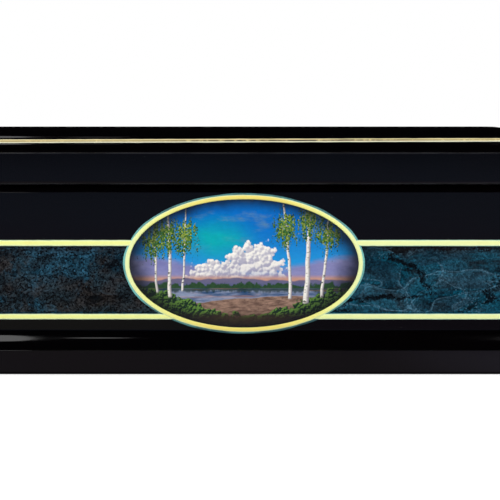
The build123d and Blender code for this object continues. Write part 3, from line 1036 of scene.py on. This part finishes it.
def bead(stations, low_edge, high_edge, proud, crest=0.5):
    """Rings of a painted bead between two edges, highest at its crest and seated in its groove."""
    rings = []
    for way, place, across, out in stations:
        low, high = low_edge(way), high_edge(way)
        ring = []
        for step in range(CROWN_STEPS + 1):
            share = (1 - math.cos(math.pi * step / CROWN_STEPS)) / 2
            fall = abs(share - crest) / (crest if share < crest else 1 - crest)
            rise = proud * (1 - fall**CROWN_POWER)
            ring.append(place + across * (low + (high - low) * share) + out * rise)
        ring.append(place + across * high - out * INLAY_DEPTH)
        ring.append(place + across * low - out * INLAY_DEPTH)
        rings.append(ring)
    return rings


def steady(edge, *strays):
    """An edge at a fixed offset that strays a little."""
    return lambda way: edge + sum(stray(way) for stray in strays)


def brushed_edges(seeds, offsets, reach, *drifts):
    """The two edges of a painted line, each with a wobble of its own."""
    return [steady(offset, wander(seed, reach), *drifts) for seed, offset in zip(seeds, offsets)]


class CASKET_OT_base_moulding(bpy.types.Operator):
    """Lacquer the plinth and its cove as one moulding"""

    bl_idname = "casket.base_moulding"
    bl_label = "Base moulding"

    def execute(self, context):
        sizes = context.scene.casket_sizes
        projection = BASE.high.x - WALLS.high.x
        back = projection + WALL_THICKNESS
        rebate = BASE.high.x - FLOOR.high.x
        hollow = cove(projection, BASE.high.z, sizes.cove_radius, sizes.cove_turn)
        ledge = hollow[0][1]
        outline = soften([
            (0.0, BASE.low.z, sizes.foot_arris),
            (0.0, ledge, sizes.arris),
            *plain(hollow),
            (back, BASE.high.z, 0.0),
            (back, FLOOR.high.z, 0.0),
            (rebate, FLOOR.high.z, 0.0),
            (rebate, BASE.low.z, 0.0),
        ])
        base = make_piece("lacquer_base", moulding(outline, BASE, sizes.plinth_corner), closed=True)
        carve(base, [plaque_seat()])
        dress(base, "black_lacquer", "casket", nodes_of("base_moulding_{}"))
        return {"FINISHED"}


def plaque_seat():
    """The oval that the plaque takes out of the front."""
    outline = oval(EDGING.high.x - OVAL_MIDDLE.x, EDGING.high.z - OVAL_MIDDLE.z, PICTURE.high.y)
    return prism(outline, Vector((0, 2 * BASE.low.y - 2 * PICTURE.high.y, 0)))


def hinge_seats(leaf_pattern, upwards, sizes):
    """What the hinges' leaves and barrels take out of the wall or the lid."""
    cutters = []
    for leaf in nodes_of(leaf_pattern, ENDS):
        low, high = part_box(leaf)
        run = Vector((high.x - low.x, 0, 0))
        seat = sizes.leaf_seat if upwards else -sizes.leaf_seat
        near, far = HINGE_LINE.z - seat, HINGE_LINE.z + seat
        corners = ((low.y, near), (HINGE_LINE.y, near), (HINGE_LINE.y, far), (low.y, far))
        cutters.append(prism([Vector((low.x, y, z)) for y, z in corners], run))
        radius = (high.z - low.z) / 2 + sizes.barrel_room
        circle = arc((HINGE_LINE.y, HINGE_LINE.z), (radius, radius), 0, 360, 4 * CORNER_STEPS)[:-1]
        room = Vector((sizes.barrel_room, 0, 0))
        start = Vector((low.x, 0, 0)) - room
        cutters.append(prism([start + Vector((0, y, z)) for y, z in circle], run + 2 * room))
    return cutters


class CASKET_OT_walls(bpy.types.Operator):
    """Lacquer the four walls as one case, grooved for the inlays and seated for the hinges"""

    bl_idname = "casket.walls"
    bl_label = "Walls"

    def execute(self, context):
        sizes = context.scene.casket_sizes
        bevel_run = WALLS.high.y - HINGE_LINE.y
        bevel_foot = WALLS.high.z - bevel_run * math.tan(sizes.bevel_angle)
        groove = span("lower_gilt_strip_back", "upper_gilt_strip_back")
        outline = soften([
            (0.0, WALLS.low.z, 0.0),
            (0.0, groove.low.z, 0.0),
            (INLAY_DEPTH, groove.low.z, 0.0),
            (INLAY_DEPTH, groove.high.z, 0.0),
            (0.0, groove.high.z, 0.0),
            (0.0, bevel_foot, sizes.bevel_round),
            (bevel_run, WALLS.high.z, 0.0),
            (WALL_THICKNESS, WALLS.high.z, 0.0),
            (WALL_THICKNESS, WALLS.low.z, 0.0),
        ])
        walls = make_piece("lacquer_walls", moulding(outline, WALLS, sizes.wall_corner), closed=True)
        carve(walls, [plaque_seat(), *hinge_seats("{}_hinge_body_leaf", False, sizes)])
        dress(walls, "black_lacquer", "casket", nodes_of("{}_wall"))
        return {"FINISHED"}


class CASKET_OT_inside(bpy.types.Operator):
    """Finish the linings, the floor and the board under it"""

    bl_idname = "casket.inside"
    bl_label = "Linings and floor"

    def execute(self, context):
        refinish([*nodes_of("lining_{}"), "floor_lining", "lid_lining"], "red_lacquer")
        refinish(["floor_panel"], "floor_board")
        return {"FINISHED"}


class CASKET_OT_marbling(bpy.types.Operator):
    """Marble the band between the gilt strips"""

    bl_idname = "casket.marbling"
    bl_label = "Marbled band"

    def execute(self, context):
        refinish(nodes_of("marble_band_{}", STRETCHES), "marbled_paint")
        return {"FINISHED"}


def ring_reach(height):
    """How far from the middle the outside of the gilt ring lies, at a height."""
    half = RING.high - OVAL_MIDDLE
    share = (height - OVAL_MIDDLE.z) / half.z
    return half.x * math.sqrt(max(0.0, 1.0 - share * share))


class CASKET_OT_gilt_strips(bpy.types.Operator):
    """Paint the gilt strips from the ring on the front round to its other side"""

    bl_idname = "casket.gilt_strips"
    bl_label = "Gilt strips"

    def execute(self, context):
        sizes = context.scene.casket_sizes
        under_ring = 2 * sizes.brush_wobble
        for row, seeds in STRIP_SEEDS.items():
            nodes = nodes_of(row + "_gilt_strip_{}", STRETCHES)
            strip = span(*nodes)
            proud = WALLS.low.y - strip.low.y
            edges = brushed_edges(seeds, (strip.low.z, strip.high.z), sizes.brush_wobble)
            clear = max(ring_reach(strip.low.z), ring_reach(strip.high.z)) + BEAD_STEP
            stations = [
                station
                for station in walk_round(WALLS.high.x, WALLS.high.y, sizes.wall_corner)
                if station.place.y > WALLS.low.y + proud or abs(station.place.x) > clear
            ]
            rings = bead(stations, *edges, proud)
            ends = [
                [Vector((side * (ring_reach(point.z) - under_ring), point.y, point.z)) for point in ring]
                for side, ring in ((-1, rings[0]), (1, rings[-1]))
            ]
            piece = make_piece(f"{row}_gilt_strip", [ends[0], *rings, ends[1]], closed=False)
            dress(piece, "gilt_paint", "casket", nodes)
        return {"FINISHED"}


class CASKET_OT_plaque(bpy.types.Operator):
    """Paint the plaque and lay its gilt ring and teal edging"""

    bl_idname = "casket.plaque"
    bl_label = "Plaque"

    def execute(self, context):
        sizes = context.scene.casket_sizes
        half = PICTURE.high - OVAL_MIDDLE
        ring_width = RING.high.x - PICTURE.high.x
        edging_width = EDGING.high.x - RING.high.x
        stations = walk_oval(half.x, half.z, WALLS.low.y)
        edges = brushed_edges(RING_SEEDS, (0.0, ring_width), sizes.brush_wobble)
        rings = bead(stations, *edges, WALLS.low.y - RING.low.y)
        gilt = make_piece("gilt_ring", rings, closed=True)
        dress(gilt, "gilt_paint", "casket", ["oval_gilt_ring"], coat="gilt_ring_paint")
        inner = steady(ring_width / 2, wander(RING_SEEDS[0], sizes.brush_wobble))
        widest = ring_width + edging_width - sizes.edging_wobble
        outer = steady(widest, wander(EDGING_SEED, sizes.edging_wobble))
        rings = bead(stations, inner, outer, WALLS.low.y - EDGING.low.y)
        edging = make_piece("teal_edging", rings, closed=True)
        dress(edging, "teal_paint", "casket", ["oval_edging"])
        rings = [oval(half.x, half.z, PICTURE.high.y)]
        for number in range(PLAQUE_RINGS):
            share = 1.0 - number / PLAQUE_RINGS
            y = PICTURE.low.y - sizes.picture_crown * (1.0 - share * share)
            rings.append(oval(half.x * share, half.z * share, y))
        plaque = make_piece("plaque", rings, closed=False)
        dress(plaque, "painted_miniature", "casket", ["oval_miniature"])
        return {"FINISHED"}


class CASKET_OT_lid(bpy.types.Operator):
    """Lacquer the lid's frame and board, and lay the gilt line between them"""

    bl_idname = "casket.lid"
    bl_label = "Lid"

    def execute(self, context):
        sizes = context.scene.casket_sizes
        self.make_frame(sizes)
        self.make_board(sizes)
        self.make_line(sizes)
        return {"FINISHED"}

    def make_frame(self, sizes):
        """The upright band with its ledge, splay and cove, bevelled at the back where it stops when open."""
        band_top = LID.low.z + sizes.band_height
        hollow = cove(LID.high.x - BOARD.high.x, LID.high.z, sizes.lid_cove_radius, sizes.cove_turn)
        splay_foot = hollow[0][0] - (hollow[0][1] - band_top) * math.tan(sizes.cove_turn)
        outline = soften([
            (0.0, LID.low.z, sizes.band_foot_round),
            (0.0, band_top, sizes.arris),
            (splay_foot, band_top, 0.0),
            *plain(hollow),
            (LID_FRAME_WIDTH, LID.high.z, 0.0),
            (LID_FRAME_WIDTH, LID.low.z, 0.0),
        ])
        lid_frame = make_piece("lacquer_lid_frame", moulding(outline, LID, sizes.lid_corner), closed=True)
        carve(lid_frame, [self.stop_bevel(sizes), *hinge_seats("{}_hinge_lid_leaf", True, sizes)])
        dress(lid_frame, "black_lacquer", "lid", nodes_of("lid_frame_{}"))

    def stop_bevel(self, sizes):
        """The wedge behind the hinge line."""
        reach = 2 * (LID.high.y - HINGE_LINE.y)
        slope = Vector((0, math.cos(sizes.bevel_angle), math.sin(sizes.bevel_angle))) * 2 * reach
        start = Vector((2 * LID.low.x, HINGE_LINE.y, HINGE_LINE.z))
        below = start - slope / 4
        outline = [below, below + Vector((0, 3 * reach, 0)), start + slope]
        return prism(outline, Vector((4 * LID.high.x, 0, 0)))

    def make_board(self, sizes):
        """The board with its soft shoulder, grooved at its edge for the gilt line."""
        line_top = span("lid_gilt_line_front").high.z
        radii = sizes.shoulder_run, BOARD.high.z - line_top
        shoulder = arc((sizes.shoulder_run, line_top), radii, 180, 90, COVE_STEPS)
        outline = [(INLAY_DEPTH, BOARD.low.z), (INLAY_DEPTH, line_top), *shoulder]
        rings = []
        for inset, height in outline:
            share = inset / sizes.shoulder_run
            radius = sizes.board_corner + (sizes.shoulder_corner - sizes.board_corner) * share
            rings.append(round_rectangle(BOARD.high.x - inset, BOARD.high.y - inset, radius, height))
        board = make_piece("lacquer_lid_board", rings, closed=False)
        dress(board, "black_lacquer", "lid", ["lid_top_board"])

    def make_line(self, sizes):
        """The gilt line round the board's edge."""
        nodes = nodes_of("lid_gilt_line_{}")
        line = span(*nodes)
        stations = walk_round(BOARD.high.x, BOARD.high.y, sizes.board_corner)
        whole_way = stations[-1].way

        def drift(way):
            return -sizes.line_drift * math.sin(math.tau * way / whole_way)

        edges = brushed_edges(LINE_SEEDS, (line.low.z, line.high.z), sizes.brush_wobble, drift)
        rings = bead(stations, *edges, line.high.x - BOARD.high.x, LINE_CREST)
        dress(make_piece("lid_gilt_line", rings, closed=True), "gilt_leaf", "lid", nodes)


class CASKET_OT_hinges(bpy.types.Operator):
    """Finish the hinges, their pins and their screws"""

    bl_idname = "casket.hinges"
    bl_label = "Hinges"

    def execute(self, context):
        for leaf in ("body_leaf", "lid_leaf"):
            refinish(nodes_of("{}_hinge_" + leaf, ENDS), "hinge_brass")
        refinish(nodes_of("{}_hinge_pin", ENDS), "hinge_pin_steel")
        refinish(["body_leaf_screws", "lid_leaf_screws"], "screw_brass")
        return {"FINISHED"}


# The floor is a disc, a hair below the casket's foot
FLOOR_RADIUS = 1.8
FLOOR_DROP = 0.1 * MM
FLOOR_STEPS = 64

# Width of the camera's sensor in millimetres
SENSOR_WIDTH = 36.0

# Where the floor's mirror image changes from near to far, from left to right, and beside the casket's foot,
# where a painted shadow darkens it, in millimetres
FAR_FADE = 250.0, 750.0
NEAR_RIGHT_FADE = 40.0, 95.0
FAR_RIGHT_FADE = -90.0, 60.0
FOOT_FADE = 10.0, 28.0

# Where the room that gloss shows changes from haze to sky, and from there to dark, as heights on a unit ball
SKY_FADE = -0.006, 0.012
DARK_FADE = 0.004, 0.055

# Softboxes: middle in metres, width and height, brightness, on two lines before and behind the casket
LAMPS_BEFORE, LAMPS_BEHIND = -0.73, 0.95
Softbox = namedtuple("Softbox", "name x y z width height radiance")


def lay_floor(studio):
    """A pale round floor that keeps the casket's shadow; gloss sees a glowing painted image of it instead,
    with a painted shadow beside the casket's foot.
    """
    outline = arc((0, 0), (FLOOR_RADIUS, FLOOR_RADIUS), 0, 360, FLOOR_STEPS)[:-1]
    mesh = bpy.data.meshes.new("pale_floor")
    mesh.from_pydata([(x, y, -FLOOR_DROP) for x, y in outline], [], [range(len(outline))])
    floor = add_object("pale_floor", mesh)
    paint = Recipe(bpy.data.materials.new("pale_floor"))
    lit = paint.node("ShaderNodeBsdfDiffuse", {}, {"Color": studio.floor_colour})
    glow = paint.node("ShaderNodeEmission", {}, {"Color": (1, 1, 1), "Strength": studio.floor_lift})
    lifted = paint.node("ShaderNodeAddShader", {}, {0: lit, 1: glow})
    seen = paint.node("ShaderNodeMixShader", {}, {0: paint.ray("Camera"), 1: lit, 2: lifted})
    place = paint.place()
    x = paint.axis(place, "X")
    reach = paint.node("ShaderNodeVectorMath", {"operation": "LENGTH"}, {0: place}, "Value")
    # Gloss sees a glowing painted image of the floor instead of the lit floor
    near = paint.mix(paint.fade(x, *NEAR_RIGHT_FADE), studio.near_left, studio.near_right)
    far = paint.mix(paint.fade(x, *FAR_RIGHT_FADE), studio.far_left, studio.far_right)
    image = paint.mix(paint.fade(reach, *FAR_FADE), near, far)
    beside, before = abs(x) - BASE.high.x / MM, abs(paint.axis(place, "Y")) - BASE.high.y / MM
    # A painted shadow beside the casket's foot
    image = paint.shade(image, paint.fade(paint.math("MAXIMUM", beside, before), *FOOT_FADE))
    dim = paint.node("ShaderNodeEmission", {}, {"Color": image})
    shader = paint.node("ShaderNodeMixShader", {}, {0: paint.ray("Glossy"), 1: seen, 2: dim})
    paint.node("ShaderNodeOutputMaterial", {}, {"Surface": shader})
    mesh.materials.append(paint.owner)


def light_room(studio):
    """A white room to the eye, soft light on paint, and a dim horizon in the gloss of the lacquer."""
    world = bpy.data.worlds.new("white_room")
    bpy.context.scene.world = world
    paint = Recipe(world)
    height = paint.axis(paint.node("ShaderNodeTexCoord", {}, {}, "Generated"), "Z")
    horizon = paint.mix(paint.fade(height, *SKY_FADE), studio.mirrored_haze, studio.mirrored_sky)
    dim = paint.mix(paint.fade(abs(height), *DARK_FADE), horizon, (studio.mirrored_dark,) * 3)
    mirrored = paint.ray("Glossy") + paint.ray("Transmission")
    seen = paint.mix(mirrored, (studio.ambient,) * 3, dim)
    seen = paint.mix(paint.ray("Camera"), seen, (1, 1, 1))
    light = paint.node("ShaderNodeBackground", {}, {"Color": seen, "Strength": 1.0})
    paint.node("ShaderNodeOutputWorld", {}, {"Surface": light})


def hang_softboxes(studio):
    """Softboxes at the front corners, narrow strips nearer the middle, a small glint, and two behind."""
    front, back = studio.softbox_radiance, studio.back_radiance
    softboxes = (
        Softbox("left_softbox", -0.41, LAMPS_BEFORE, 0.40, 0.50, 0.36, front),
        Softbox("right_softbox", 0.41, LAMPS_BEFORE, 0.40, 0.50, 0.36, front),
        Softbox("left_strip", -0.136, LAMPS_BEFORE, 0.485, 0.040, 0.38, studio.strip_radiance),
        Softbox("right_strip", 0.1630, LAMPS_BEFORE, 0.485, 0.040, 0.38, studio.strip_radiance),
        Softbox("glint", -0.0807, LAMPS_BEFORE, 0.455, 0.034, 0.065, studio.glint_radiance),
        Softbox("back_left_softbox", -0.75, LAMPS_BEHIND, 0.60, 0.80, 0.50, back),
        Softbox("back_right_softbox", 0.75, LAMPS_BEHIND, 0.60, 0.80, 0.50, back),
    )
    for softbox in softboxes:
        lamp = bpy.data.lights.new(softbox.name, "AREA")
        lamp.shape = "ELLIPSE"
        lamp.size = softbox.width
        lamp.size_y = softbox.height
        lamp.energy = softbox.radiance * math.pi * (math.pi * softbox.width * softbox.height / 4)
        hung = add_object(softbox.name, lamp)
        hung.location = softbox.x, softbox.y, softbox.z
        ahead = Vector((softbox.x, 0, OVAL_MIDDLE.z)) - hung.location
        hung.rotation_euler = ahead.to_track_quat("-Z", "Y").to_euler()
        hung.visible_camera = False


def place_camera(studio):
    """A long lens straight in front, level with the middle of the casket."""
    camera = bpy.data.cameras.new("camera")
    camera.lens = studio.lens
    camera.sensor_width = SENSOR_WIDTH
    eye = add_object("camera", camera)
    eye.location = studio.eye_shift, WALLS.low.y - studio.eye_distance, studio.eye_height
    eye.rotation_euler = math.pi / 2, 0, 0
    bpy.context.scene.camera = eye


class CASKET_OT_studio(bpy.types.Operator):
    """Lay the floor, light the room and set up the camera"""

    bl_idname = "casket.studio"
    bl_label = "Studio"

    def execute(self, context):
        studio = context.scene.casket_studio
        lay_floor(studio)
        light_room(studio)
        hang_softboxes(studio)
        place_camera(studio)
        context.scene.view_settings.view_transform = "Standard"
        return {"FINISHED"}


GROUPS = {
    "casket_sizes": CasketSizes,
    "casket_colours": CasketColours,
    "casket_studio": CasketStudio,
}
OPERATORS = (
    CASKET_OT_base_moulding,
    CASKET_OT_walls,
    CASKET_OT_inside,
    CASKET_OT_marbling,
    CASKET_OT_gilt_strips,
    CASKET_OT_plaque,
    CASKET_OT_lid,
    CASKET_OT_hinges,
    CASKET_OT_studio,
)


class CASKET_PT_sidebar(bpy.types.Panel):
    """Lists the casket's steps, sizes and colours"""

    bl_idname = "CASKET_PT_sidebar"
    bl_label = "Lacquer Casket"
    bl_space_type = "VIEW_3D"
    bl_region_type = "UI"
    bl_category = "Casket"

    def draw(self, context):
        for operator in OPERATORS:
            self.layout.operator(operator.bl_idname)
        for name, group in GROUPS.items():
            box = self.layout.box()
            for setting in group.__annotations__:
                box.prop(getattr(context.scene, name), setting)


CLASSES = (*GROUPS.values(), *OPERATORS, CASKET_PT_sidebar)


def register():
    for item in CLASSES:
        bpy.utils.register_class(item)
    for name, group in GROUPS.items():
        setattr(bpy.types.Scene, name, bpy.props.PointerProperty(type=group))


def unregister():
    for name in GROUPS:
        delattr(bpy.types.Scene, name)
    for item in reversed(CLASSES):
        bpy.utils.unregister_class(item)


def main():
    register()
    for operator in OPERATORS:
        category, name = operator.bl_idname.split(".")
        getattr(getattr(bpy.ops, category), name)()


if __name__ == "__main__":
    main()
